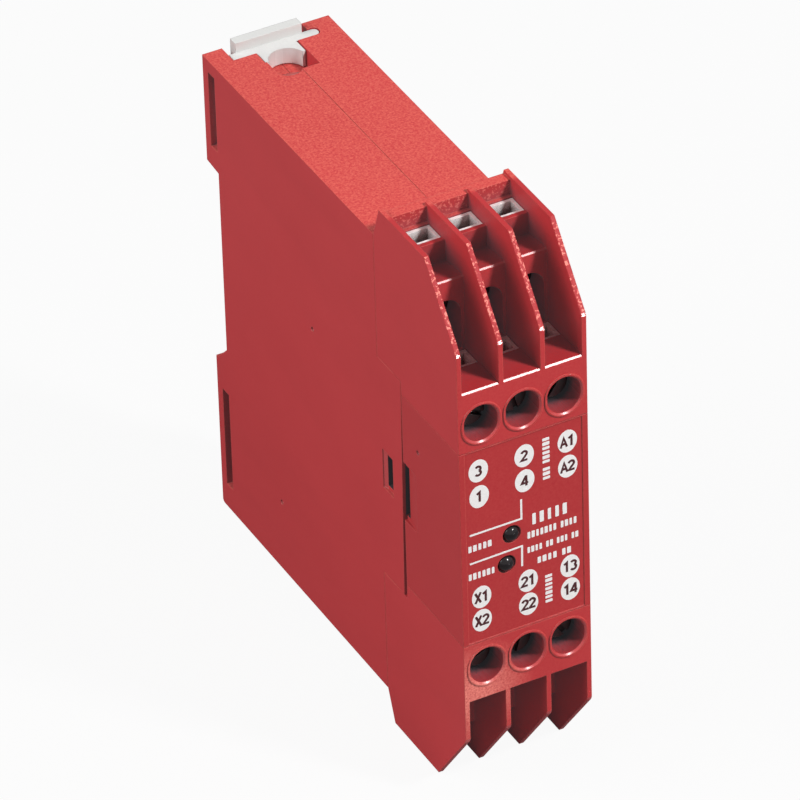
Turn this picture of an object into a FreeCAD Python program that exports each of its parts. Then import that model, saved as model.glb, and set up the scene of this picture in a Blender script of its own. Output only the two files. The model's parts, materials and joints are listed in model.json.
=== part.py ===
"""Safety relay for a 35 mm rail: parametric construction, one STEP file for each piece.

Units are millimetres. While building, X runs across the width with 0 in the middle, Y runs back
from the front face, and Z runs up from mid height. Each piece is written in the rail frame: the
origin is the middle of the rail seat, and the front of the module faces -Y.
"""
import FreeCAD, Part
import os

from FreeCAD import Vector

os.makedirs("parts", exist_ok=True)

# ---- Module envelope ----
module_width = 22.5      # one 22.5 mm pitch on the rail
module_depth = 84.0      # front face to back edge
body_height = 87.6       # rear housing, over the top and bottom faces
fin_tip_height = 99.0    # over the tips of the terminal fins
front_edge_height = 73.8  # straight front edge of the side plates
wall = 1.6               # rear housing walls
low_corner_round = 0.7   # lower back corner
seam_x = 0.55            # seam between the two rear housing halves
seam_gap = 0.08          # open line between two mouldings

# ---- Terminal block outline ----
fin_thickness = 0.8
fin_slope_depth = 9.6    # how far back the slanted front corner of a fin runs
fin_back_y = 24.2        # back of the fin peak
joint_y = 26.4           # terminal blocks meet the rear housing
shelf_z = 29.6           # shelf above the front screw holes
shelf_chamfer = 0.28     # front edges of the shelf and of the ledge behind it
fin_chamfer = 0.35       # corner where a fin's front edge turns
label_half_height = 18.4
rear_tier_y = 10.8       # front wall of the rear terminal tier
rear_tier_z = 43.0       # its ledge
scoop_drop = 0.6         # the top behind the ledge falls this much
bridge_y = 16.5          # front of the bridge before the wire opening
bridge_depth = 0.8
rear_wire_z = 46.2       # rim of the rear wire opening
upstand_y = 22.2         # raised wall behind the wire openings
upstand_z = 48.9

# ---- Terminals: one front and one rear tier in each column ----
columns = 3
screw_radius = 1.45      # M3 clamp screw, over the thread
screw_pitch = 0.5
screw_turns = 4          # from fully in to fully open
thread_clearance = 0.05
head_radius = 2.5
head_height = 1.6
head_slot = 0.8
head_clearance = 0.1     # between head and moulding, screwed fully in
tube_wall = 0.6
tube_clearance = 0.12    # contact tube in its shaft
collar_radius = 2.1
collar_length = 1.5
collar_clearance = 0.3
clamp_plate_thickness = 0.6
clamp_plate_clearance = 0.15
plate_play = 0.1         # behind the pressure plate, and between it and the screw
tail_width = 1.2
tail_height = 0.8
tail_clearance = 0.1
front_screw_z = 23.2
rear_screw_z = 36.4
front_tube_y = 6.5       # front of the front tier's contact tube
hole_width = 5.8         # screwdriver hole in the front face
hole_height = 6.5
rim_width = 0.55         # raised rim round it
rim_height = 0.2
rim_chamfer = 0.28       # its inner edge
arch_width = 5.4         # screwdriver arch of the rear tier

# ---- Front cover ----
cover_thickness = 1.8
cover_side = 1.0         # its side walls
label_recess = 0.15
cover_depth = 18.6
tongue_half_height = 20.8
tongue_slant = 0.9       # the slit behind the cover widens downwards
led_radius = 1.5
led_clearance = 0.1
led_proud = 0.8
led_places = ((-2.3, 0.2), (-3.3, -5.2))
latch_depth = 0.5
# Latch windows, ahead of the moulding's edge: front and back end, half height, the slot's ends.
cover_latch = (4.3, -1.0, 5.6, (1.0, -0.5))
rear_latch = (4.2, 0.8, 3.7, (4.1, 1.6))
cover_gate = (5.0, 10.4)  # gate mark ahead of the cover's back edge, height
gate_radius = 0.45
gate_depth = 0.3

# ---- Rail recess ----
recess_depth = 4.0       # from the back edge to the side plates beside the rail
seat_depth = 0.8         # the rail's front face rests this far behind the side plates
rail_width = 35.0
rail_thickness = 1.0
rail_clearance = 0.2
rail_top_z = 23.4        # upper flank of the recess
recess_flank = 3.4       # the lower flank falls back at 45 degrees by this much
hook_overlap = 1.6       # how far the fixed hook reaches behind the rail
hook_gap = 0.15

# ---- Rail foot ----
foot_thickness = 1.8
foot_clearance = 0.2
foot_travel = 2.5
foot_left_x = -7.75      # channel for the foot, left side
foot_right_x = 8.1       # its right side, under the finger
finger_x = 6.4           # tip of the finger that holds the foot
foot_slot_round = 1.0    # end of the slot under the finger
foot_rise = 1.6          # the foot's back stands this much above the housing
foot_back_x = (-6.4, 5.4)
notch_left_x = -3.7
notch_right_x = 3.75
notch_depth = 7.5        # in the right half of the housing
notch_left_depth = 3.1   # in the left half, where a scoop leads down to it
notch_floor = 3.3        # below the top face
scoop_x = -1.2
scoop_radius = 2.2
scoop_front = 1.0        # it starts this far in front of the right half's notch
foot_hollow = 3.1        # radius of the hollow for a screwdriver tip
foot_hollow_wall = 0.7   # boss between the hollow and the foot's plate
foot_arm_low = 4.4       # arms in the side slots: their lower end above the recess flank
foot_arm_drop = 5.1      # and their upper end below the top face
spring_x = 3.9
spring_wire = 0.45
spring_radius = 1.6      # to the middle of the wire
spring_turns = 6
spring_low = 3.6         # pocket for the spring: above the recess flank
spring_drop = 5.3        # and below the top face
side_slot_z = (-27.3, -8.2)  # lower slots in the side plates, from the hook's edge of the rail
side_slot_skin = 1.0     # they reach this far in behind the side plates

# ---- Boards and what they carry ----
board_thickness = 1.6
board_play = 0.6         # front face of the terminal board, behind the joint
board_edge = 2.4         # main board, clear of the side plate
board_gap = 1.0          # terminal board to main boards
board_back_gap = 4.0     # main boards to the recess
board_drop = 5.8         # main boards' edges below the top face
terminal_board_drop = 2.4
rib_width = 1.5
rib_inset = (7.0, 8.0)   # ribs that carry the main boards, from the boards' lower and upper ends
relay_size = (12.5, 29.0, 13.0)  # height off the board, length, width
relay_pitch = 15.5
relay_drop = 16.0        # first relay's middle below the board's upper edge
relay_back_gap = 18.0    # and in front of the board's back edge
monitor_size = (10.5, 20.0, 10.0)
monitor_drop = 14.5      # below the second relay
monitor_back_gap = 13.5
can_rise = 11.0          # capacitor and choke above the board's lower edge
capacitor_size = (4.0, 11.5)     # radius, height off the board
capacitor_gap = 14.4     # behind the board's front edge
choke_size = (4.5, 9.0)
choke_gap = 26.4
header_half_height = 12.0
header_base = 2.5        # moulding of an angled header, both ways
header_pin = (1.2, 6.0)  # its pin row: height off the board, length
indicator_inset = 2.75   # indicator board, clear of the side faces
indicator_half_height = 10.5
post_x = (2.5, 5.0)      # spacer header of the indicator board
post_half_height = 7.5
post_foot = (0.6, 3.0, 1.0)      # its foot: wider by, thickness, taller by
gate_marks = ((22.1, 12.4), (35.6, -30.0))  # behind the joint, height

half_width = module_width / 2
half_body = body_height / 2
recess_y = module_depth - recess_depth
rail_seat_y = recess_y + seat_depth
fin_pitch = (module_width - fin_thickness) / columns
column_half = (fin_pitch - fin_thickness) / 2
column_centres = [(i - (columns - 1) / 2) * fin_pitch for i in range(columns)]
rail_bottom_z = rail_top_z - rail_width - rail_clearance
rail_centre_z = (rail_top_z + rail_bottom_z) / 2
into_rail_frame = Vector(0, -rail_seat_y, -rail_centre_z)
rear_tube_y = bridge_y + bridge_depth + 0.1
screw_travel = screw_turns * screw_pitch
tube_depth = 2 * tube_wall + clamp_plate_thickness + screw_travel + 2 * plate_play
recess_low_z = rail_bottom_z + seat_depth
notch_y = recess_y - notch_depth
foot_arm_z = (rail_top_z + foot_arm_low, half_body - foot_arm_drop)
spring_pocket_z = (rail_top_z + spring_low, half_body - spring_drop)
board_y = joint_y + board_play
board_start_y = board_y + board_thickness + board_gap
board_back_y = recess_y - board_back_gap
board_half_height = half_body - board_drop


def box(x, y, z):
    """A box from three (low, high) pairs."""
    return Part.makeBox(x[1] - x[0], y[1] - y[0], z[1] - z[0], Vector(x[0], y[0], z[0]))


def plate(outline, x):
    """An outline of (y, z) points, run from x[0] to x[1]."""
    points = [Vector(x[0], y, z) for y, z in outline]
    face = Part.Face(Part.makePolygon(points + points[:1]))
    return face.extrude(Vector(x[1] - x[0], 0, 0))


def rod(radius, x, z, y):
    """A round bar along Y, from y[0] to y[1]."""
    return Part.makeCylinder(radius, y[1] - y[0], Vector(x, y[0], z), Vector(0, 1, 0))


def oval_bar(width, height, x, z, y):
    """A bar along Y with a rounded top and bottom."""
    straight = (height - width) / 2
    body = box((x - width / 2, x + width / 2), y, (z - straight, z + straight))
    ends = [rod(width / 2, x, z + s * straight, y) for s in (-1, 1)]
    return body.multiFuse(ends).removeSplitter()


def arch_bar(width, top_z, low_z, x, y):
    """A bar along Y with a round top, open at the bottom."""
    centre_z = top_z - width / 2
    body = box((x - width / 2, x + width / 2), y, (low_z, centre_z))
    return body.fuse(rod(width / 2, x, centre_z, y)).removeSplitter()


def mirrored(shape, side):
    """The shape itself for the upper row, its mirror image for the lower row."""
    return shape if side > 0 else shape.mirror(Vector(0, 0, 0), Vector(0, 0, 1))


def edges_across(shape, y, z):
    """The edges of a shape that run across the module at one place in the side view."""
    return [e for e in shape.Edges if abs(e.CenterOfMass.y - y) < 0.01
            and abs(e.CenterOfMass.z - z) < 0.01 and e.BoundBox.ZLength < 0.01]


def write(name, shape):
    """Write one piece in the rail frame."""
    shape = shape.copy()
    shape.translate(into_rail_frame)
    shape.exportStep("parts/%s.step" % name)


# ---- Terminal blocks ----
def terminal_shafts(x):
    """The spaces that the two terminals of one column need in the moulding."""
    inner = (x - column_half, x + column_half)
    far = fin_tip_height
    front_back_y = front_tube_y + tube_depth
    rear_back_y = rear_tube_y + tube_depth
    tail_x = (x - tail_width / 2 - tail_clearance, x + tail_width / 2 + tail_clearance)
    return [
        # Front tier: wire shaft under the shelf, screwdriver hole, collar, tail.
        box(inner, (front_tube_y - 0.1, front_back_y + 0.1), (label_half_height + 0.4, shelf_z + 1)),
        oval_bar(hole_width, hole_height, x, front_screw_z, (-1, front_tube_y - collar_length)),
        rod(collar_radius + collar_clearance, x, front_screw_z, (0, front_tube_y)),
        box(tail_x, (front_back_y, far), tail_span(front_tail_z(), tail_clearance)),
        # Rear tier: wire shaft behind the bridge, screwdriver arch, collar, tail.
        box(inner, (rear_tube_y - 0.1, rear_back_y + 0.1), (rear_screw_z - 4, rear_wire_z + 1)),
        arch_bar(arch_width, rear_screw_z + arch_width / 2 + 0.2, shelf_z, x,
                 (rear_tier_y - 1, rear_tube_y - collar_length)),
        rod(collar_radius + collar_clearance, x, rear_screw_z, (rear_tier_y, rear_tube_y)),
        box(tail_x, (rear_back_y, far), tail_span(rear_tail_z(), tail_clearance)),
    ]


def tail_span(z, clearance=0.0):
    """Height range of a contact tail whose middle is at z."""
    return (z - tail_height / 2 - clearance, z + tail_height / 2 + clearance)


def front_tail_z():
    """The front tails pass just above the step for the rear housing's tongue."""
    return tongue_half_height + 1.2


def rear_tail_z():
    """The rear tails leave low on their tubes."""
    return rear_screw_z - 2.6


def fin_outline(back):
    """Side view of a fin: a straight front edge, a slanted corner and a sloped back."""
    tip = fin_tip_height / 2
    front_top = (0, front_edge_height / 2)
    return [(0, label_half_height), front_top, (fin_slope_depth, tip)] + back


def terminal_block(side):
    """Moulding with the fins, the two terminal tiers and the front band, for one row."""
    tip = fin_tip_height / 2
    low = label_half_height + seam_gap / 2
    step_z = tongue_half_height + seam_gap
    step_y = cover_depth
    rear = joint_y - seam_gap
    outer = fin_outline([(fin_back_y, tip), (rear, half_body), (rear, step_z), (step_y, step_z),
                         (step_y, low)])
    outer[0] = (0, low)
    inner = fin_outline([(upstand_y + 0.5, tip), (upstand_y + 0.5, low)])
    inner[0] = (0, low)
    core = [(0, low), (0, shelf_z), (rear_tier_y, shelf_z), (rear_tier_y, rear_tier_z),
            (bridge_y, rear_tier_z - scoop_drop), (bridge_y, rear_wire_z), (upstand_y, rear_wire_z),
            (upstand_y, upstand_z), (fin_back_y, upstand_z), (fin_back_y, half_body),
            (rear, half_body), (rear, step_z), (step_y, step_z), (step_y, low)]
    solid = plate(core, (-half_width, half_width))
    solid = solid.makeChamfer(shelf_chamfer, edges_across(solid, 0, shelf_z)
                              + edges_across(solid, rear_tier_y, rear_tier_z))
    fins = []
    for i in range(columns + 1):
        left = -half_width + i * fin_pitch
        outline = outer if i in (0, columns) else inner
        fin = plate(outline, (left, left + fin_thickness))
        fins.append(fin.makeChamfer(fin_chamfer, edges_across(fin, 0, front_edge_height / 2)))
    solid = solid.multiFuse(fins)
    rims = [oval_bar(hole_width + 2 * rim_width, hole_height + 2 * rim_width, x, front_screw_z,
                     (-rim_height, 1)) for x in column_centres]
    lid = box((-half_width + fin_thickness / 2, half_width - fin_thickness / 2), (-1, 1),
              (low, shelf_z))
    solid = solid.multiFuse([rim.common(lid) for rim in rims])
    cuts = [shaft for x in column_centres for shaft in terminal_shafts(x)]
    # The tongues of the rear housing and the terminal board stay clear of the core's back corner.
    inside = (-half_width + wall + 0.2, half_width - wall - 0.2)
    cuts.append(box(inside, (cover_depth + 1, rear - 1.8), (step_z + 3.4, rear_screw_z - 5.2)))
    solid = solid.cut(Part.makeCompound(cuts)).removeSplitter()
    reach = hole_width / 2 + 0.01
    lips = [e for e in solid.Edges if abs(e.BoundBox.YMax + rim_height) < 0.01
            and any(e.BoundBox.XMin > x - reach and e.BoundBox.XMax < x + reach
                    for x in column_centres)]
    return mirrored(solid.makeChamfer(rim_chamfer, lips), side)


# ---- Terminals ----
def contact_tube(x, y, z, shaft_low, shaft_high, tail_z, side):
    """Plated tube that takes the wire from above, with a threaded collar and a solder tail."""
    half = column_half - tube_clearance
    depth = (y, y + tube_depth)
    body = box((x - half, x + half), depth, (shaft_low, shaft_high))
    bore = box((x - half + tube_wall, x + half - tube_wall),
               (depth[0] + tube_wall, depth[1] - tube_wall), (shaft_low - 1, shaft_high + 1))
    body = body.cut(bore)
    collar = rod(collar_radius, x, z, (y - collar_length + collar_clearance, y + tube_wall))
    tail_end = board_y + board_thickness + 0.8
    tail = box((x - tail_width / 2, x + tail_width / 2), (depth[1] - tube_wall, tail_end),
               tail_span(tail_z))
    body = body.multiFuse([collar, tail])
    thread = rod(screw_radius + thread_clearance, x, z, (y - collar_length, y + tube_wall + 0.01))
    return mirrored(body.cut(thread).removeSplitter(), side)


def clamp_plate(x, y, z, side):
    """Pressure plate inside the tube, screwed fully in."""
    half = column_half - tube_clearance - tube_wall - clamp_plate_clearance
    back = y + tube_depth - tube_wall - plate_play
    solid = box((x - half, x + half), (back - clamp_plate_thickness, back), (z - 3, z + 3))
    return mirrored(solid, side)


def clamp_screw(x, y, z, side):
    """Slotted clamp screw, screwed fully in: its tip stands just off the pressure plate."""
    tip = y + tube_depth - tube_wall - clamp_plate_thickness - 2 * plate_play
    head_back = y - collar_length - head_clearance
    head = rod(head_radius, x, z, (head_back - head_height, head_back))
    head = head.makeChamfer(0.3, [e for e in head.Edges if e.Closed and
                                  abs(e.CenterOfMass.y - head_back + head_height) < 0.01])
    shank = rod(screw_radius, x, z, (head_back - 0.1, tip - 0.5))
    point = Part.makeCone(screw_radius, screw_radius - 0.5, 0.5, Vector(x, tip - 0.5, z),
                          Vector(0, 1, 0))
    slot = box((x - head_radius, x + head_radius), (head_back - head_height - 1,
               head_back - head_height + head_slot), (z - head_slot / 2, z + head_slot / 2))
    slot.rotate(Vector(x, 0, z), Vector(0, 1, 0), slot_turn(x, y))
    return mirrored(head.multiFuse([shank, point]).cut(slot).removeSplitter(), side)


def slot_turn(x, y):
    """Each screw stops at its own angle."""
    return 25 + 50 * (column_centres.index(x)) + (30 if y > rear_tier_y else 0)


# ---- Front cover ----
def front_cover():
    """Label plate with a skirt on each side, LED holes and latch windows."""
    top = label_half_height - seam_gap / 2
    solid = box((-half_width, half_width), (0, cover_depth), (-top, top))
    inside = half_width - cover_side
    solid = solid.cut(box((-inside, inside), (cover_thickness, cover_depth + 1), (-top - 1, top + 1)))
    solid = solid.cut(box((-inside, inside), (-1, label_recess), (-top + 0.2, top - 0.2)))
    for x, z in led_places:
        solid = solid.cut(rod(led_radius + led_clearance, x, z, (-1, cover_thickness + 1)))
    for s in (-1, 1):
        solid = solid.cut(latch_window(s, cover_depth, cover_latch))
        solid = solid.cut(gate_mark(s, cover_depth - cover_gate[0], cover_gate[1]))
    return solid.removeSplitter()


def latch_window(s, edge_y, sizes):
    """A ramped pocket in a side plate, with a slot right through it."""
    front, back, half_height, slot = sizes
    slot_y = [edge_y - y for y in slot]
    skin = s * half_width
    ramp = [(edge_y - front, skin), (edge_y - back, skin),
            (edge_y - back, skin - s * latch_depth / 3),
            (slot_y[1], skin - s * latch_depth), (slot_y[0], skin - s * latch_depth)]
    points = [Vector(x, yy, -half_height) for yy, x in ramp]
    pocket = Part.Face(Part.makePolygon(points + points[:1])).extrude(Vector(0, 0, 2 * half_height))
    slot_x = sorted((skin + s * 0.5, skin - s * (wall + 0.5)))
    return pocket.fuse(box(slot_x, slot_y, (-half_height + 0.6, half_height - 0.9)))


def gate_mark(s, y, z):
    """Small round pit in a side face."""
    start = Vector(s * (half_width - gate_depth), y, z)
    return Part.makeCylinder(gate_radius, gate_depth + 1, start, Vector(s, 0, 0))


# ---- Rear housing ----
def rear_outline():
    """Side view of the rear housing: tongue in front, rail recess behind."""
    back = module_depth
    tongue_top = (cover_depth + seam_gap, tongue_half_height)
    tongue_low = (cover_depth + seam_gap + tongue_slant, -tongue_half_height)
    return [(joint_y, half_body), (back, half_body), (back, rail_top_z + 0.4),
            (recess_y, rail_top_z), (recess_y, recess_low_z),
            (recess_y + recess_flank, recess_low_z - recess_flank), (back, recess_low_z - recess_flank),
            (back, -half_body), (joint_y, -half_body), (joint_y, -tongue_half_height), tongue_low,
            tongue_top, (joint_y, tongue_half_height)]


def rear_shell():
    """Both halves of the rear housing, still in one piece."""
    solid = plate(rear_outline(), (-half_width, half_width))
    solid = solid.makeFillet(low_corner_round, edges_across(solid, module_depth, -half_body))
    inner = half_width - wall
    low = -half_body + wall
    cuts = [box((-inner, inner), (cover_depth - 1, recess_y - wall), (low, half_body - wall)),
            box((-inner, inner), (recess_y - wall - 1, module_depth - wall),
                (low, recess_low_z - recess_flank - wall))]
    shell = solid.cut(Part.makeCompound(cuts))
    # Seat pads and fixed hook for the rail, pockets for the foot and its spring.
    pad_x = (foot_left_x + 1, finger_x - 1)
    seat = (recess_y - 0.5, rail_seat_y)
    hook_front = rail_seat_y + rail_thickness + hook_gap
    add = [box(pad_x, seat, (rail_top_z - 4.5, rail_top_z - 0.3)),
           box(pad_x, seat, (rail_bottom_z + 0.2, rail_bottom_z + 4.2)),
           box(pad_x, (recess_y - wall, module_depth - 0.5), (rail_bottom_z - 4.4, rail_bottom_z)),
           box(pad_x, (hook_front, module_depth - 0.5),
               (rail_bottom_z - 1, rail_bottom_z + hook_overlap)),
           box((notch_left_x - 1.2, notch_right_x + 1.2), (notch_y - 2.4, recess_y),
               (half_body - notch_floor - 1.2, half_body)),
           box((spring_x - 3.2, spring_x + 3.2), (spring_y() - 3.2, recess_y - 0.5),
               (spring_pocket_z[0] - 1.2, spring_pocket_z[1] + 1))]
    for side_x in ((-half_width + wall / 2, -half_width + board_edge),
                   (half_width - board_edge, half_width - wall / 2)):
        ribs = (rib_inset[0] - board_half_height, board_half_height - rib_inset[1])
        add += [box(side_x, (joint_y + 6, board_back_y), (z, z + rib_width)) for z in ribs]
    return shell.multiFuse(add).cut(Part.makeCompound(foot_spaces())).removeSplitter()


def spring_y():
    """The foot spring stands against the back wall."""
    return recess_y - wall - spring_radius - spring_wire


def foot_spaces():
    """Channel, notch, scoop, side slots and spring pocket of the rail foot."""
    slot_back = recess_y + foot_thickness + 2 * foot_clearance
    high = half_body + 1
    finger_slot = box((finger_x - 1, foot_right_x), (recess_y, slot_back), (rail_top_z - 1, high))
    finger_slot = finger_slot.makeFillet(foot_slot_round, upright_edges(finger_slot, foot_right_x))
    notch_low = half_body - notch_floor
    notch_left_y = recess_y - notch_left_depth
    spring_half = spring_radius + spring_wire / 2 + 0.3
    spaces = [box((foot_left_x, finger_x), (recess_y, module_depth + 1), (rail_top_z - 1, high)),
              finger_slot,
              box((-half_width - 1, foot_left_x + 1), (recess_y, slot_back),
                  (foot_arm_z[0] - 0.3, foot_arm_z[1] + foot_travel + 0.3)),
              box((seam_x, notch_right_x), (notch_y, recess_y + 1), (notch_low, high)),
              box((notch_left_x, seam_x + 1), (notch_left_y, recess_y + 1), (notch_low, high)),
              scoop(notch_left_y, notch_low),
              box((spring_x - spring_half, spring_x + spring_half),
                  (spring_y() - spring_half, spring_y() + spring_half), spring_pocket_z),
              box((spring_x - 2.0, spring_x + 2.0), (spring_y(), recess_y + 1),
                  (spring_pocket_z[0], spring_pocket_z[0] + 5))]
    low_slot_z = [rail_bottom_z + z for z in side_slot_z]
    for side_x in ((-half_width - 1, -half_width + wall + side_slot_skin),
                   (half_width - wall - side_slot_skin, half_width + 1)):
        spaces.append(box(side_x, (recess_y, slot_back), low_slot_z))
    return spaces


def scoop(back_y, low_z):
    """A ramp with a round front end, down to the notch's floor in the left half."""
    front_y = notch_y - scoop_front
    high = half_body + 1
    ramp = plate([(front_y, high), (front_y, half_body), (back_y, low_z), (back_y + 1, low_z),
                  (back_y + 1, high)], (scoop_x - scoop_radius, seam_x + 0.1))
    middle = Vector(scoop_x, front_y + scoop_radius, 0)
    round_end = Part.makeCylinder(scoop_radius, high, middle)
    rest = box((scoop_x - scoop_radius, seam_x + 1), (middle.y, back_y + 1), (0, high))
    return ramp.common(round_end.fuse(rest))


def upright_edges(shape, x):
    """The upright edges of a shape on its face at x."""
    return [e for e in shape.Edges if abs(e.CenterOfMass.x - x) < 0.01
            and e.BoundBox.ZLength > 0.9 * shape.BoundBox.ZLength]


def rear_half(side):
    """Left or right half of the rear housing, cut apart at the seam."""
    far = half_width + 5
    keep = (-far, seam_x - seam_gap / 2) if side < 0 else (seam_x + seam_gap / 2, far)
    half = rear_shell().common(box(keep, (0, module_depth + 5), (-body_height, body_height)))
    marks = [gate_mark(side, joint_y + y, z) for y, z in gate_marks]
    marks.append(latch_window(side, joint_y, rear_latch))
    return half.cut(Part.makeCompound(marks)).removeSplitter()


# ---- Rail foot ----
def rail_foot():
    """Sliding foot: plate in the channel, hollow for a screwdriver, lug for the spring, tongue."""
    front = recess_y + foot_clearance
    back = front + foot_thickness
    hook_front = rail_seat_y + rail_thickness + hook_gap
    top = half_body - foot_clearance
    edge_x = foot_right_x - foot_clearance
    body = box((foot_left_x + foot_clearance, edge_x), (front, back), (foot_arm_z[0], top))
    body = body.makeFillet(foot_slot_round - foot_clearance, upright_edges(body, edge_x))
    low = box((foot_left_x + foot_clearance, finger_x - foot_clearance), (front, back),
              (rail_top_z + 0.6, foot_arm_z[0] + 1))
    arm = box((foot_left_x - 1.6, foot_left_x + 1), (front, back), foot_arm_z)
    raised = box(foot_back_x, (back - 0.1, module_depth - 0.3), (rail_top_z + 3, half_body + foot_rise))
    # The boss in the notch, with a half-round hollow that is open to the front.
    boss_y = recess_y - notch_left_depth + foot_clearance
    boss = box((notch_left_x + foot_clearance, notch_right_x - foot_clearance), (boss_y, front + 0.1),
               (half_body - notch_floor + foot_clearance, top))
    hollow = Vector((notch_left_x + notch_right_x) / 2, front - foot_hollow_wall - foot_hollow, 0)
    boss = boss.cut(Part.makeCylinder(foot_hollow, body_height, hollow))
    lug = box((spring_x - 1.8, spring_x + 1.8), (spring_y() - 1.9, front + 0.1),
              (spring_pocket_z[0] + 0.2, spring_pocket_z[0] + 2.2))
    tongue_outline = [(hook_front, rail_top_z - 1.7), (hook_front, rail_top_z + 3.6),
                      (module_depth - 0.3, rail_top_z + 3.6), (module_depth - 0.3, rail_top_z - 0.2)]
    tongue = plate(tongue_outline, foot_back_x)
    return body.multiFuse([low, arm, raised, boss, lug, tongue]).removeSplitter()


def foot_spring():
    """Compression spring between the foot's lug and the pocket's ceiling."""
    low = spring_pocket_z[0] + 2.2 + spring_wire / 2
    length = spring_pocket_z[1] - spring_wire / 2 - low
    helix = Part.makeHelix(length / spring_turns, length, spring_radius)
    start = Vector(spring_radius, 0, 0)
    ring = Part.Wire([Part.makeCircle(spring_wire / 2, start, Vector(0, 1, 0.15))])
    coil = Part.Wire(helix).makePipeShell([ring], True, True)
    coil.translate(Vector(spring_x, spring_y(), low))
    return coil


# ---- Boards and what they carry ----
def terminal_board():
    """Board across the module that the solder tails pass through."""
    inside = half_width - wall - 0.3
    high = half_body - terminal_board_drop
    solid = box((-inside, inside), (board_y, board_y + board_thickness), (-high, high))
    holes = []
    for x in column_centres:
        for z in (front_tail_z(), rear_tail_z()):
            for side in (-1, 1):
                hole = box((x - tail_width / 2 - 0.05, x + tail_width / 2 + 0.05),
                           (board_y - 1, board_y + board_thickness + 1), tail_span(z, 0.05))
                holes.append(mirrored(hole, side))
    return solid.cut(Part.makeCompound(holes))


def long_board(side):
    """Board along one side plate, on the plate's ribs."""
    faces = sorted((side * (half_width - board_edge), board_face(side)))
    return box(faces, (board_start_y, board_back_y), (-board_half_height, board_half_height))


def board_face(side):
    """X of a long board's inner face, where its parts stand."""
    return side * (half_width - board_edge - board_thickness)


def on_board(side, size, y, z):
    """A part standing on a long board: size is its height off the board, then Y and Z."""
    foot = board_face(side)
    x = sorted((foot, foot - side * size[0]))
    return box(x, (y - size[1] / 2, y + size[1] / 2), (z - size[2] / 2, z + size[2] / 2))


def rounded(shape, radius):
    """The same box with all edges rounded."""
    return shape.makeFillet(radius, shape.Edges)


def can(side, radius, height, y, z):
    """A round capacitor standing on a long board."""
    foot = Vector(board_face(side), y, z)
    body = Part.makeCylinder(radius, height, foot, Vector(-side, 0, 0))
    top = [e for e in body.Edges if e.Closed and abs(abs(e.CenterOfMass.x - foot.x) - height) < 0.01]
    return body.makeFillet(0.6, top)


def link_header(side):
    """Row of angled pins in one moulding, from the terminal board to a long board."""
    foot = board_face(side)
    y0 = board_y + board_thickness
    half = header_half_height
    body = box(sorted((foot, foot - side * header_base)), (y0, y0 + header_base), (-half, half))
    pins = box(sorted((foot, foot - side * header_pin[0])), (y0, y0 + header_pin[1]),
               (1 - half, half - 1))
    return body.fuse(pins).removeSplitter()


def led(x, z):
    """Round LED with a flange and two legs to the indicator board."""
    dome_y = led_radius - led_proud + label_recess
    body = rod(led_radius, x, z, (dome_y, cover_thickness + 1.2))
    dome = Part.makeSphere(led_radius, Vector(x, dome_y, z))
    dome = dome.common(box((x - 3, x + 3), (-5, dome_y), (z - 3, z + 3)))
    flange = rod(led_radius + 0.4, x, z, (cover_thickness + 0.1, cover_thickness + 1.2))
    legs = [rod(0.25, x + dx, z, (cover_thickness + 1, indicator_y() + board_thickness + 0.6))
            for dx in (-0.9, 0.9)]
    return body.multiFuse([dome, flange] + legs).removeSplitter()


def indicator_y():
    """Front face of the indicator board."""
    return cover_thickness + 5.2


def indicator_board():
    """Small board behind the label plate."""
    y0 = indicator_y()
    half = half_width - indicator_inset
    solid = box((-half, half), (y0, y0 + board_thickness),
                (-indicator_half_height, indicator_half_height))
    holes = [rod(0.3, x + dx, z, (y0 - 1, y0 + 3)) for x, z in led_places for dx in (-0.9, 0.9)]
    return solid.cut(Part.makeCompound(holes))


def indicator_stack():
    """Spacer header that carries the indicator board off the terminal board."""
    wider, thick, taller = post_foot
    half = post_half_height
    post = box(post_x, (indicator_y() + board_thickness, board_y), (-half, half))
    foot = box((post_x[0] - wider, post_x[1] + wider), (board_y - thick, board_y),
               (-half - taller, half + taller))
    return post.fuse(foot).removeSplitter()


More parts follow.
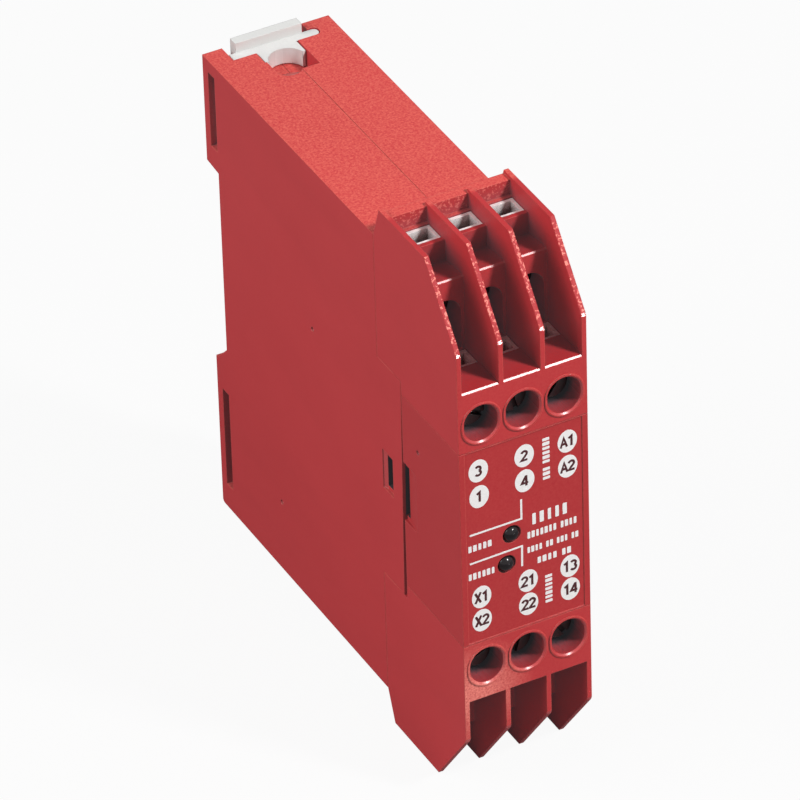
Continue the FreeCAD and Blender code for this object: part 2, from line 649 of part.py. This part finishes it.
def build():
    """Make and write every piece."""
    for side, row in ((1, "upper"), (-1, "lower")):
        write("%s_terminal_block" % row, terminal_block(side))
        for number, x in enumerate(column_centres, 1):
            tiers = (("front", front_tube_y, front_screw_z, label_half_height + 0.6, shelf_z - 0.2,
                      front_tail_z()),
                     ("rear", rear_tube_y, rear_screw_z, rear_screw_z - 3.8, rear_wire_z - 0.2,
                      rear_tail_z()))
            for tier, y, z, low, high, tail_z in tiers:
                label = (row, tier, number)
                write("%s_%s_contact_%d" % label, contact_tube(x, y, z, low, high, tail_z, side))
                write("%s_%s_clamp_plate_%d" % label, clamp_plate(x, y, z, side))
                write("%s_%s_screw_%d" % label, clamp_screw(x, y, z, side))
    write("front_cover", front_cover())
    write("left_rear_housing", rear_half(-1))
    write("right_rear_housing", rear_half(1))
    write("rail_foot", rail_foot())
    write("foot_spring", foot_spring())
    write("terminal_board", terminal_board())
    write("main_board", long_board(-1))
    write("supply_board", long_board(1))
    write("main_board_header", link_header(-1))
    write("supply_board_header", link_header(1))
    write("indicator_board", indicator_board())
    write("indicator_header", indicator_stack())
    for name, place in zip(("power_led", "output_led"), led_places):
        write(name, led(*place))
    relay_z = board_half_height - relay_drop
    for name, drop in (("first_relay", 0), ("second_relay", relay_pitch)):
        relay = on_board(-1, relay_size, board_back_y - relay_back_gap, relay_z - drop)
        write(name, rounded(relay, 0.5))
    monitor = on_board(-1, monitor_size, board_back_y - monitor_back_gap,
                       relay_z - relay_pitch - monitor_drop)
    write("monitor_relay", rounded(monitor, 0.5))
    can_z = can_rise - board_half_height
    write("supply_capacitor", can(1, *capacitor_size, board_start_y + capacitor_gap, can_z))
    write("filter_choke", can(1, *choke_size, board_start_y + choke_gap, can_z))


build()
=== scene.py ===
"""Safety relay: looks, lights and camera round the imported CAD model.

Everything is in metres in the rail frame: +X right, +Y back, +Z up, seen from the front.
"""
import json
import math

import bmesh
import bpy
from mathutils import Matrix, Vector


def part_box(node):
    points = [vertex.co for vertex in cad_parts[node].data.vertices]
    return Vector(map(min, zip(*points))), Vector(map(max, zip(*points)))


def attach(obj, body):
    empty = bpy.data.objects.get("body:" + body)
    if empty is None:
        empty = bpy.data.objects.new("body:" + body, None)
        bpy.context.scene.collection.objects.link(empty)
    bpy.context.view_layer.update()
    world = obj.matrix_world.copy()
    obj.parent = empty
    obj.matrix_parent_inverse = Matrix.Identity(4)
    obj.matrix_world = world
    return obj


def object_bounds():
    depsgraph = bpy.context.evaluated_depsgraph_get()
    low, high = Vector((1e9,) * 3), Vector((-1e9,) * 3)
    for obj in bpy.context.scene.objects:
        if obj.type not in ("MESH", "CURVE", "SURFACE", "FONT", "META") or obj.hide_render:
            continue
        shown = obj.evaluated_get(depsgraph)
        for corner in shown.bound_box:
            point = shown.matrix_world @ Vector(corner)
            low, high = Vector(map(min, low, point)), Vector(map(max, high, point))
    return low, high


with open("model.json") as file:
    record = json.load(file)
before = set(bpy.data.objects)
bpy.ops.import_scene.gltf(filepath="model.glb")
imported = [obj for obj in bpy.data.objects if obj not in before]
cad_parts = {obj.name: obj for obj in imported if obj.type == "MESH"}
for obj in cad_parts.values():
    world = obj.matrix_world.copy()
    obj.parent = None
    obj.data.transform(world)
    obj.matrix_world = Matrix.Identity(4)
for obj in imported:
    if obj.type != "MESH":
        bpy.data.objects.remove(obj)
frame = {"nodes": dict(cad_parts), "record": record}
cad_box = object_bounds()
MM = 0.001
nodes = frame["nodes"]
cover_low, cover_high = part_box("front_cover")
MID_Z = (cover_low.z + cover_high.z) / 2


# ---- Places on the mouldings that their finish, painted shade and painted sheen follow ----
# Each pair is where a mask starts and where it is full, in mm. Y, and the upstand's Z, are in the
# rail frame. The other X and Z count from the module's middle and hold for both sides of it.
FIN_LEAN = 0.19                  # the fins' slanted edges: Y part of their normal less its Z part
FINS_BACK_Y = (-60.0, -59.0)
UPSTAND_Z = (40.4, 40.8)         # wall behind the wire openings
# Inside the screwdriver holes and latch slots below, the colour is a painted shade.
HOLE_X = (10.4, 10.2)            # screwdriver holes, between the outer side faces
HOLE_Z = (27.2, 26.8)
HOLE_FRONT_Y = (-78.4, -77.2)
HOLE_BACK_Y = (-64.0, -66.0)
SLOT_X = (10.74, 10.66)          # latch slots, below the floor of their pockets
SLOT_Z = (5.4, 5.2)
SLOT_FRONT_Y = (-68.0, -67.0)
SLOT_BACK_Y = (-53.0, -54.0)
# Where the painted sheen on the lower left of the front is centred, and how far it reaches.
SHEEN_PLACE = tuple(MM * v for v in (-9.5, -80.8, -34.0))
SHEEN_REACH = (10.5, 2.0)


# ---- Shader building ----
class Shader:
    """A node material with short calls for the nodes that the finishes share."""

    def __init__(self, name, **sockets):
        self.material = bpy.data.materials.new(name)
        self.material.use_nodes = True
        self.tree = self.material.node_tree
        self.surface = self.tree.nodes["Principled BSDF"]
        self.place = self.tree.nodes.new("ShaderNodeTexCoord").outputs["Object"]
        self.facing = self.tree.nodes.new("ShaderNodeNewGeometry").outputs["True Normal"]
        for socket, value in sockets.items():
            self.surface.inputs[socket.replace("_", " ")].default_value = value

    def node(self, kind, inputs=None, **settings):
        made = self.tree.nodes.new("ShaderNode" + kind)
        for key, value in settings.items():
            setattr(made, key, value)
        for key, value in (inputs or {}).items():
            self.feed(made.inputs[key], value)
        return made

    def feed(self, socket, value):
        if isinstance(value, bpy.types.NodeSocket):
            self.tree.links.new(value, socket)
        else:
            socket.default_value = value

    def set(self, socket, value):
        self.feed(self.surface.inputs[socket], value)

    def stretched(self, scale):
        """Object coordinates scaled along each axis."""
        return self.node("Mapping", {"Vector": self.place, "Scale": scale}).outputs["Vector"]

    def noise(self, per_mm, detail=3.0, roughness=0.55, vector=None, distortion=0.0):
        return self.node("TexNoise", {"Vector": vector or self.place, "Scale": per_mm / MM,
                                      "Detail": detail, "Roughness": roughness,
                                      "Distortion": distortion}).outputs["Fac"]

    def cells(self, per_mm):
        made = self.node("TexVoronoi", {"Vector": self.place, "Scale": per_mm / MM})
        return made.outputs["Distance"]

    def ramp(self, value, low, high, out_low=0.0, out_high=1.0):
        """The value, stretched from low..high to out_low..out_high and held there outside."""
        return self.node("MapRange", {"Value": value, "From Min": low, "From Max": high,
                                      "To Min": out_low, "To Max": out_high}).outputs["Result"]

    def across(self, distance, start, end):
        """0 before the start, 1 past the end, both in mm."""
        return self.ramp(distance, start * MM, end * MM)

    def math(self, operation, a, b=0.0):
        return self.node("Math", {0: a, 1: b}, operation=operation).outputs["Value"]

    def mix(self, amount, a, b):
        return self.node("Mix", {0: amount, 6: a, 7: b}, data_type="RGBA").outputs[2]

    def bump(self, height, strength, depth_mm, normal=None):
        made = self.node("Bump", {"Height": height, "Strength": strength, "Distance": depth_mm * MM})
        if normal is not None:
            self.feed(made.inputs["Normal"], normal)
        return made.outputs["Normal"]

    def edge(self, radius_mm):
        """Rounded normal, and 1 on the edges that it rounds."""
        rounded = self.node("Bevel", {"Radius": radius_mm * MM}, samples=6).outputs["Normal"]
        flat = self.node("VectorMath", {0: rounded, 1: self.facing}, operation="DOT_PRODUCT")
        return rounded, self.ramp(flat.outputs["Value"], 0.998, 0.93)

    def all_of(self, *masks):
        """The product of several masks."""
        made = masks[0]
        for mask in masks[1:]:
            made = self.math("MULTIPLY", made, mask)
        return made

    def open_sky(self, reach_mm):
        """How open a place is, from 0 deep in a recess to 1 in the open."""
        return self.node("AmbientOcclusion", {"Distance": reach_mm * MM}, samples=6,
                         only_local=True).outputs["AO"]

    def slope(self, axis):
        """How much a face looks along one axis, from 0 to 1."""
        split = self.node("SeparateXYZ", {0: self.facing}).outputs[axis]
        return self.math("ABSOLUTE", split)

    def slanted(self):
        """1 on the slanted front edges of the fins."""
        off = self.math("SUBTRACT", self.math("SUBTRACT", self.slope("Y"), self.slope("Z")), FIN_LEAN)
        level = self.ramp(self.slope("X"), 0.2, 0.1)
        return self.math("MULTIPLY", self.ramp(self.math("ABSOLUTE", off), 0.08, 0.05), level)

    def chamfered(self):
        """1 on chamfers, 0 on faces square to the axes and on the fins' slanted edges."""
        widest = self.math("MAXIMUM", self.math("MAXIMUM", self.slope("X"), self.slope("Y")),
                           self.slope("Z"))
        return self.math("SUBTRACT", self.ramp(widest, 0.985, 0.96), self.slanted())


def moulding(name, colour, light, dark, deep, grain_top, grain_front, roughness, painted_glow=0.013):
    """Moulded thermoplastic: grain, coarsest on top, polished edges, painted shade in recesses, on
    the shelves and on the fins' slanted edges, painted sheen, glints and edge highlights, and a faint
    painted glow.
    """
    # A faint even emission, a painted glow that lifts the shadows to a grey.
    s = Shader(name, Emission_Color=(0.9, 1.0, 1.1, 1.0), Emission_Strength=painted_glow)
    rounded, edge_band = s.edge(0.18)
    place = s.node("SeparateXYZ", {0: s.place}).outputs
    level = s.ramp(s.slope("Z"), 0.6, 0.9)
    behind_fins = s.across(place["Y"], *FINS_BACK_Y)
    top = s.all_of(level, s.ramp(behind_fins, 0.0, 1.0, 0.15, 1.0), grain_top)
    front = s.ramp(s.slope("Y"), 0.6, 0.9, 0.0, grain_front)
    slanted = s.slanted()
    amount = s.math("ADD", s.math("MAXIMUM", s.math("MAXIMUM", top, front), slanted), 0.06)
    pale = tuple(min(1.0, 1.1 * c + 0.08) for c in light[:3]) + (1.0,)
    fine = s.noise(2.6, 4.0, 0.7)
    speck = s.cells(1.9)
    cloud = s.noise(0.05, 3.0, 0.5)
    flow = s.noise(0.12, 2.0, 0.5, s.stretched((1.0, 0.25, 1.0)), 0.6)
    grain = s.math("MULTIPLY", s.ramp(fine, 0.35, 0.75), amount)
    base = s.mix(s.ramp(cloud, 0.3, 0.7), colour, tuple(0.95 * c for c in colour[:3]) + (1.0,))
    base = s.mix(s.math("MULTIPLY", s.ramp(flow, 0.45, 0.75), 0.2), base, dark)
    base = s.mix(s.math("MULTIPLY", grain, 0.75), base, light)
    flecks = s.math("MULTIPLY", s.ramp(speck, 0.16, 0.05), amount)
    base = s.mix(s.math("MULTIPLY", flecks, 0.45), base, light)
    # Paler edges: partly scuffs, partly a painted highlight along the edges.
    scuffs_and_edge_highlight = s.math("MULTIPLY", edge_band, s.ramp(s.noise(0.9, 4.0, 0.7), 0.35, 0.6, 0.3, 1.0))
    base = s.mix(s.math("MULTIPLY", scuffs_and_edge_highlight, 0.45), base, light)
    # Painted sheen: the lower left corner of the front is paler, as a light's reflection on it.
    away = s.node("VectorMath", {0: s.place, 1: SHEEN_PLACE}, operation="DISTANCE").outputs["Value"]
    painted_sheen = s.math("MULTIPLY", s.across(away, *SHEEN_REACH), s.ramp(fine, 0.30, 0.62, 0.15, 1.0))
    base = s.mix(s.math("MULTIPLY", painted_sheen, s.slope("Y")), base, pale)
    # Painted shade: the fins' slanted edges are darker.
    base = s.mix(slanted, base, dark)
    # Painted shade: the upward faces in front of the fins' back, the shelves, are darker.
    shelf_shade = s.math("MULTIPLY", level, s.math("SUBTRACT", 1.0, behind_fins))
    base = s.mix(s.math("MULTIPLY", shelf_shade, 0.8), base, dark)
    # Pale specks on the wall behind the wire openings, and on the upper fins' slanted edges, where
    # they are a painted glint.
    looking_up = s.ramp(s.node("SeparateXYZ", {0: s.facing}).outputs["Z"], 0.3, 0.5)
    upstand = s.all_of(s.ramp(s.slope("Y"), 0.88, 0.95), s.across(place["Z"], *UPSTAND_Z), 0.6)
    specks = s.math("MAXIMUM", s.math("MULTIPLY", slanted, looking_up), upstand)
    sparks = s.math("MULTIPLY", s.ramp(s.noise(2.0, 2.0, 0.6), 0.53, 0.61), specks)
    base = s.mix(s.math("MULTIPLY", sparks, 0.85), base, pale)
    # Painted shade: recesses, and above all the screwdriver holes and latch slots, are darkened
    # inside where shade falls.
    base = s.mix(s.ramp(s.open_sky(9), 0.42, 0.10), base, deep)
    off_middle = s.math("ABSOLUTE", s.math("SUBTRACT", place["Z"], MID_Z))
    off_side = s.math("ABSOLUTE", place["X"])
    in_hole = s.all_of(s.across(off_middle, *HOLE_Z), s.across(off_side, *HOLE_X),
                       s.across(place["Y"], *HOLE_FRONT_Y), s.across(place["Y"], *HOLE_BACK_Y))
    in_slot = s.all_of(s.across(off_middle, *SLOT_Z), s.across(off_side, *SLOT_X),
                       s.across(place["Y"], *SLOT_FRONT_Y), s.across(place["Y"], *SLOT_BACK_Y),
                       s.ramp(s.slope("X"), 0.6, 0.4))
    s.set("Base Color", s.mix(s.math("MAXIMUM", in_hole, in_slot), base, HOLE_SHADE))
    polished = s.chamfered()
    s.set("Specular IOR Level", s.ramp(polished, 0.0, 1.0, 0.2, 0.8))
    coarse = s.ramp(s.math("ADD", grain, s.ramp(cloud, 0.3, 0.7, 0.0, 0.25)), 0.0, 1.2,
                    roughness - 0.05, roughness + 0.12)
    smooth = s.math("SUBTRACT", 1.0, polished)
    steep = s.ramp(s.math("SUBTRACT", s.slope("Y"), s.slope("Z")), 0.2, 0.55, 0.33, 0.14)
    s.set("Roughness", s.math("ADD", s.math("MULTIPLY", coarse, smooth),
                              s.math("MULTIPLY", polished, steep)))
    height = s.math("ADD", s.math("MULTIPLY", fine, amount), s.math("MULTIPLY", cloud, 0.5))
    s.set("Normal", s.bump(s.math("MULTIPLY", height, smooth), 0.5, 0.05, rounded))
    return s.material


def plated(name, colour, roughness, scratch_axis, metallic=1.0, shade=None):
    """Plated metal with fine drawn lines and dull patches, and a shade for its deep insides."""
    s = Shader(name, Metallic=metallic)
    rounded, edge_band = s.edge(0.08)
    lines = s.noise(5.0, 3.0, 0.6, s.stretched(scratch_axis))
    patches = s.noise(0.9, 4.0, 0.6)
    dull = tuple(0.72 * c for c in colour[:3]) + (1.0,)
    base = s.mix(s.ramp(patches, 0.42, 0.72), colour, dull)
    pale = tuple(min(1.0, 1.3 * c + 0.02) for c in colour[:3]) + (1.0,)
    base = s.mix(s.math("MULTIPLY", edge_band, 0.5), base, pale)
    if shade:
        base = s.mix(s.ramp(s.open_sky(6), 0.34, 0.16), base, shade)
    s.set("Base Color", base)
    s.set("Roughness", s.ramp(s.math("ADD", lines, patches), 0.7, 1.3, roughness, roughness + 0.2))
    s.set("Normal", s.bump(lines, 0.25, 0.01, rounded))
    return s.material


def lacquered(name, colour, second, per_mm, roughness, coat=0.0):
    """Board, case or sleeve: two close tones, fine grain and a soft edge."""
    s = Shader(name, Coat_Weight=coat)
    rounded, edge_band = s.edge(0.12)
    tone = s.noise(per_mm, 5.0, 0.6)
    base = s.mix(s.ramp(tone, 0.4, 0.62), colour, second)
    pale = tuple(min(1.0, 1.6 * c + 0.03) for c in colour[:3]) + (1.0,)
    s.set("Base Color", s.mix(s.math("MULTIPLY", edge_band, 0.5), base, pale))
    s.set("Roughness", s.ramp(tone, 0.3, 0.7, roughness, roughness + 0.15))
    s.set("Normal", s.bump(s.noise(3.0, 3.0), 0.3, 0.02, rounded))
    return s.material


def circuit_board(name):
    """Green solder mask over faint copper tracks."""
    s = Shader(name, Coat_Weight=0.3)
    rounded, edge_band = s.edge(0.1)
    tracks = s.node("TexBrick", {"Vector": s.place, "Scale": 1 / (9 * MM),
                                 "Mortar Size": 0.035, "Brick Width": 0.9, "Row Height": 0.22})
    base = s.mix(tracks.outputs["Fac"], (0.012, 0.105, 0.038, 1.0), (0.035, 0.20, 0.075, 1.0))
    base = s.mix(s.ramp(s.noise(0.4), 0.4, 0.7), base, (0.01, 0.085, 0.03, 1.0))
    s.set("Base Color", s.mix(edge_band, base, (0.30, 0.27, 0.14, 1.0)))
    s.set("Roughness", s.ramp(s.noise(2.0), 0.3, 0.7, 0.28, 0.45))
    s.set("Normal", s.bump(tracks.outputs["Fac"], 0.4, 0.03, rounded))
    return s.material


def lens(name):
    """Dark tinted lens of an unlit light."""
    s = Shader(name, Specular_IOR_Level=0.35)
    tint = s.noise(0.5, 2.0)
    s.set("Base Color", s.mix(s.ramp(tint, 0.3, 0.7), (0.012, 0.006, 0.008, 1.0),
                              (0.004, 0.003, 0.004, 1.0)))
    s.set("Roughness", s.ramp(s.noise(2.0), 0.3, 0.7, 0.16, 0.2))
    return s.material


def ink(name, colour, second):
    """Screen print: slightly uneven cover with a soft grain."""
    s = Shader(name, Specular_IOR_Level=0.35)
    cover = s.noise(4.0, 4.0, 0.7)
    s.set("Base Color", s.mix(s.ramp(cover, 0.35, 0.75), colour, second))
    s.set("Roughness", s.ramp(s.noise(3.0), 0.3, 0.7, 0.45, 0.6))
    s.set("Normal", s.bump(cover, 0.3, 0.01))
    return s.material


# ---- Finishes ----
RED = (0.53, 0.024, 0.029, 1.0)
RED_LIGHT = (0.80, 0.175, 0.125, 1.0)
RED_DARK = (0.42, 0.014, 0.018, 1.0)
# Painted shade in the mouldings' recesses.
RED_RECESS_SHADE = (0.17, 0.085, 0.10, 1.0)
# Painted shade inside the screwdriver holes and latch slots.
HOLE_SHADE = (0.05, 0.028, 0.033, 1.0)
LABEL_RED = (0.47, 0.018, 0.022, 1.0)
TUBE_SHADE = (0.16, 0.085, 0.085, 1.0)

FINISHES = {
    "housing": moulding("red_moulding", RED, RED_LIGHT, RED_DARK, RED_RECESS_SHADE, 1.0, 0.12, 0.46),
    "label_plate": moulding("red_label_plate", LABEL_RED, RED_LIGHT, RED_DARK, RED_RECESS_SHADE, 0.3, 0.08,
                            0.42),
    "foot": moulding("pale_grey_foot", (0.68, 0.68, 0.665, 1.0), (0.74, 0.74, 0.73, 1.0),
                     (0.58, 0.58, 0.58, 1.0), (0.5, 0.5, 0.5, 1.0), 0.7, 0.4, 0.42, 0.0),
    "spring_steel": plated("spring_wire", (0.52, 0.52, 0.51, 1.0), 0.25, (1.0, 1.0, 6.0)),
    "plated_contact": plated("tin_plate", (0.98, 0.975, 0.965, 1.0), 0.34, (6.0, 6.0, 0.4), 0.15,
                             TUBE_SHADE),
    "zinc_screw": plated("black_zinc_screw", (0.075, 0.07, 0.072, 1.0), 0.28, (4.0, 0.4, 4.0)),
    "circuit_board": circuit_board("green_board"),
    "header": lacquered("black_header", (0.018, 0.018, 0.020, 1.0), (0.03, 0.03, 0.032, 1.0), 0.8,
                        0.45),
    "led": lens("dark_red_lens"),
    "relay_case": lacquered("relay_case", (0.022, 0.024, 0.030, 1.0), (0.035, 0.038, 0.045, 1.0),
                            0.5, 0.3, 0.3),
    "capacitor_sleeve": lacquered("capacitor_sleeve", (0.012, 0.016, 0.05, 1.0),
                                  (0.02, 0.025, 0.07, 1.0), 0.3, 0.25, 0.4),
    "ferrite": lacquered("lacquered_ferrite", (0.035, 0.034, 0.033, 1.0), (0.06, 0.055, 0.05, 1.0),
                         1.2, 0.55),
}

for part in frame["record"]["subparts"]:
    obj = nodes[part["node"]]
    obj.data.materials.clear()
    obj.data.materials.append(FINISHES[part["material_slot"]])

white_ink = ink("white_print", (0.95, 0.94, 0.93, 1.0), (0.86, 0.82, 0.81, 1.0))
dark_ink = ink("dark_print", (0.055, 0.010, 0.014, 1.0), (0.09, 0.015, 0.02, 1.0))

# ---- Print on the label plate ----
PLATE_Y = cover_low.y + 0.15 * MM       # the printed face lies in a shallow recess
PRINT = 0.02 * MM                       # thickness of a layer of ink


def printed(name, outlines, layer, material):
    """Flat figures on the label plate from (x, z) points in mm, measured from its middle."""
    mesh = bmesh.new()
    for i, outline in enumerate(outlines):
        front = PLATE_Y - (layer + 1 + 0.1 * i) * PRINT
        face = mesh.faces.new([mesh.verts.new((x * MM, front, MID_Z + z * MM)) for x, z in outline])
        back = bmesh.ops.extrude_face_region(mesh, geom=[face])
        for v in [g for g in back["geom"] if isinstance(g, bmesh.types.BMVert)]:
            v.co.y += PRINT
    bmesh.ops.recalc_face_normals(mesh, faces=mesh.faces)
    data = bpy.data.meshes.new(name)
    mesh.to_mesh(data)
    mesh.free()
    made = bpy.data.objects.new(name, data)
    bpy.context.scene.collection.objects.link(made)
    data.materials.append(material)
    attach(made, "body")
    return made


def arc(x, z, radius, start, end, steps=10):
    """Points on an arc, from one angle in degrees to another."""
    turns = [math.radians(start + (end - start) * i / steps) for i in range(steps + 1)]
    return [(x + radius * math.cos(t), z + radius * math.sin(t)) for t in turns]


def oval(x, z, half_width, half_height):
    return [(x + half_width * cx, z + half_height * cz) for cx, cz in arc(0, 0, 1, 0, 352.5, 47)]


def rounded_bar(x, z, width, height, radius):
    """Outline of a bar with round corners."""
    points = []
    for cx, cz, start in ((1, 1, 0), (-1, 1, 90), (-1, -1, 180), (1, -1, 270)):
        points += arc(x + cx * (width / 2 - radius), z + cz * (height / 2 - radius), radius,
                      start, start + 90, 4)
    return points


def stroke(points, width):
    """Outline of a line of even width through (x, z) points, with mitred corners."""
    points = [Vector(p) for p in points]
    left, right = [], []
    for i, point in enumerate(points):
        before = (point - points[max(i - 1, 0)]).normalized()
        after = (points[min(i + 1, len(points) - 1)] - point).normalized()
        along = (before + after).normalized()
        across = Vector((-along.y, along.x))
        reach = width / 2 / max(0.45, abs(along.dot(after if after.length else before)))
        left.append(point + across * reach)
        right.append(point - across * reach)
    return left + right[::-1]


# Terminal numbers, drawn with plain strokes in a cell one unit wide and two units high.
GLYPHS = {
    "1": [[(-0.40, 0.50), (0.08, 0.84), (0.08, -1.0)]],
    "2": [arc(0.0, 0.42, 0.44, 170, -35) + [(-0.46, -0.84), (0.52, -0.84)]],
    "3": [arc(-0.04, 0.42, 0.42, 150, -70), arc(-0.04, -0.40, 0.46, 70, -150)],
    "4": [[(0.58, -0.45), (-0.50, -0.45), (0.20, 0.84)], [(0.26, -1.0), (0.26, 0.98)]],
    "A": [[(-0.52, -1.0), (0.0, 0.80), (0.52, -1.0)], [(-0.34, -0.36), (0.34, -0.36)]],
    "X": [[(-0.46, -1.0), (0.46, 1.0)], [(-0.46, 1.0), (0.46, -1.0)]],
}
GLYPH_SIZE = (1.04, 0.98)        # width of a cell and half its height
GLYPH_STROKE = 0.40


def mark(name, words, x, z):
    """A terminal number in dark ink."""
    outlines = []
    for i, letter in enumerate(words):
        middle = x + (i - (len(words) - 1) / 2) * GLYPH_SIZE[0] * 1.22
        for path in GLYPHS[letter]:
            placed = [(middle + px * GLYPH_SIZE[0], z + pz * GLYPH_SIZE[1]) for px, pz in path]
            outlines.append(stroke(placed, GLYPH_STROKE))
    printed(name, outlines, 1, dark_ink)


TERMINAL_MARKS = (("3", -7.85, 14.3), ("1", -7.8, 9.4), ("2", 0.15, 14.25), ("4", 0.15, 9.5),
                  ("A1", 7.7, 14.25), ("A2", 7.7, 9.5), ("X1", -7.8, -9.85), ("X2", -7.8, -14.35),
                  ("21", 0.4, -9.8), ("22", 0.4, -14.3), ("13", 7.8, -9.7), ("14", 7.8, -14.15))
OVAL = (1.7, 2.1)                # half width and half height of a terminal's white oval
for words, x, z in TERMINAL_MARKS:
    printed("print_oval_" + words.lower(), [oval(x, z, *OVAL)], 0, white_ink)
    mark("print_mark_" + words.lower(), words, x, z)

LINE_WIDTH = 0.34
printed("print_bracket_upper", [stroke(((-9.6, 2.5), (-0.55, 2.5), (-0.55, 6.2)), LINE_WIDTH)], 0,
        white_ink)
printed("print_bracket_lower", [stroke(((-9.7, -2.9), (-0.55, -2.75), (-0.6, -6.6)), LINE_WIDTH)], 0,
        white_ink)


def caption(name, x, z, words, pitch, height, upright=False, cover=1.0):
    """Rows of plain blocks where words would stand: one count of blocks for each word."""
    length = (sum(words) + 0.7 * (len(words) - 1)) * pitch
    blocks = []
    along = -length / 2
    for count in words:
        for i in range(count):
            width = cover * pitch * (0.64, 0.76, 0.58)[i % 3]
            middle = along + (i + 0.5) * pitch
            if upright:
                blocks.append(rounded_bar(x, z - middle, height, width, 0.12))
            else:
                blocks.append(rounded_bar(x + middle, z, width, height, 0.12))
        along += (count + 0.7) * pitch
    printed(name, blocks, 0, white_ink)


caption("print_caption_power", -7.9, -0.1, (5,), 0.86, 1.2)
caption("print_caption_output", -7.7, -5.45, (6,), 0.8, 1.2)
caption("print_caption_inputs", 3.95, 12.35, (6, 3), 0.84, 1.25, True)
caption("print_caption_contacts", 4.0, -12.6, (7,), 0.8, 1.25, True)
caption("print_caption_unit", 4.75, -1.15, (7, 4), 0.76, 1.25)
caption("print_caption_made", 4.85, -3.95, (4, 2, 3, 2), 0.70, 1.15)
caption("print_caption_volts", 5.05, -6.5, (4, 2), 0.92, 1.2)
caption("print_caption_type", 4.35, 1.7, (5,), 1.35, 2.1, cover=0.72)

# ---- Floor, lights, camera ----
box_low, box_high = cad_box
centre = (box_low + box_high) / 2
stage_mesh = bmesh.new()
bmesh.ops.create_grid(stage_mesh, x_segments=1, y_segments=1, size=3.0)
floor_data = bpy.data.meshes.new("floor")
stage_mesh.to_mesh(floor_data)
stage_mesh.free()
floor = bpy.data.objects.new("floor", floor_data)
bpy.context.scene.collection.objects.link(floor)
floor.location = (0, 0, box_low.z - 0.2 * MM)


def pale_floor():
    """Matt pale floor that looks white to the camera and keeps the object's shadow."""
    s = Shader("pale_floor", Roughness=0.9, Specular_IOR_Level=0.1)
    tone = s.noise(0.02, 4.0)
    s.set("Base Color", s.mix(s.ramp(tone, 0.3, 0.7), (0.32, 0.32, 0.32, 1.0),
                              (0.30, 0.30, 0.305, 1.0)))
    lift = s.node("Emission", {"Color": (1.0, 1.0, 1.0, 1.0), "Strength": 1.04})
    ray = s.node("LightPath").outputs["Is Camera Ray"]
    seen = s.node("MixShader", {0: s.math("MULTIPLY", ray, 0.9), 1: s.surface.outputs["BSDF"],
                                2: lift.outputs["Emission"]})
    s.tree.links.new(seen.outputs["Shader"], s.tree.nodes["Material Output"].inputs["Surface"])
    return s.material


floor_data.materials.append(pale_floor())


def area_light(name, direction, distance, size, level):
    """A round soft light; at level 1 a facing surface renders at its own colour."""
    data = bpy.data.lights.new(name, "AREA")
    data.shape = "DISK"
    data.size = size
    data.energy = level * (math.pi * distance) ** 2
    made = bpy.data.objects.new(name, data)
    bpy.context.scene.collection.objects.link(made)
    made.location = centre + Vector(direction).normalized() * distance
    made.rotation_mode = "QUATERNION"
    made.rotation_quaternion = Vector(direction).to_track_quat("Z", "Y")
    return made


# The key casts the shadows; the glint shows only in the corners of the fins.
area_light("key", (0.368, -0.60, 0.71), 0.9, 0.12, 0.92)
area_light("fill", (-0.80, 0.08, 0.59), 1.2, 0.9, 0.78)
area_light("front_glint", (0.368, -0.929, -0.024), 1.2, 0.03, 0.08)


def studio_world(ambient, in_gloss):
    """White to the camera, dimmer as ambient light and in reflections."""
    world = bpy.data.worlds.new("studio")
    bpy.context.scene.world = world
    world.use_nodes = True
    tree = world.node_tree
    rays = tree.nodes.new("ShaderNodeLightPath")
    level = None
    for ray, strength in (("Is Glossy Ray", in_gloss), ("Is Camera Ray", 1.0)):
        scaled = tree.nodes.new("ShaderNodeMath")
        scaled.operation = "MULTIPLY"
        scaled.inputs[1].default_value = strength
        tree.links.new(rays.outputs[ray], scaled.inputs[0])
        most = tree.nodes.new("ShaderNodeMath")
        most.operation = "MAXIMUM"
        most.inputs[1].default_value = ambient
        tree.links.new(scaled.outputs["Value"], most.inputs[0])
        if level is not None:
            tree.links.new(level, most.inputs[1])
        level = most.outputs["Value"]
    background = tree.nodes["Background"]
    background.inputs["Color"].default_value = (1.0, 1.0, 1.0, 1.0)
    tree.links.new(level, background.inputs["Strength"])


studio_world(0.09, 0.9)

CAMERA_AZIMUTH = 27.004
CAMERA_ELEVATION = 35.752
CAMERA_ROLL = 1.805
CAMERA_DISTANCE = 1295.8 * MM
CAMERA_AIM = Vector((-0.555, -40.8, -5.65)) * MM

a, e = math.radians(CAMERA_AZIMUTH), math.radians(CAMERA_ELEVATION)
ahead = Vector((math.sin(a) * math.cos(e), math.cos(a) * math.cos(e), -math.sin(e)))
camera_data = bpy.data.cameras.new("camera")
camera_data.lens = 370.12
camera_data.sensor_width = 36.0
camera_data.clip_start = 0.05
camera_data.clip_end = 20.0
camera = bpy.data.objects.new("camera", camera_data)
bpy.context.scene.collection.objects.link(camera)
camera.location = CAMERA_AIM - ahead * CAMERA_DISTANCE
camera.rotation_mode = "QUATERNION"
camera.rotation_quaternion = ahead.to_track_quat("-Z", "Y") @ \
    Matrix.Rotation(math.radians(-CAMERA_ROLL), 3, "Z").to_quaternion()
bpy.context.scene.camera = camera

bpy.context.scene.view_settings.view_transform = "Standard"
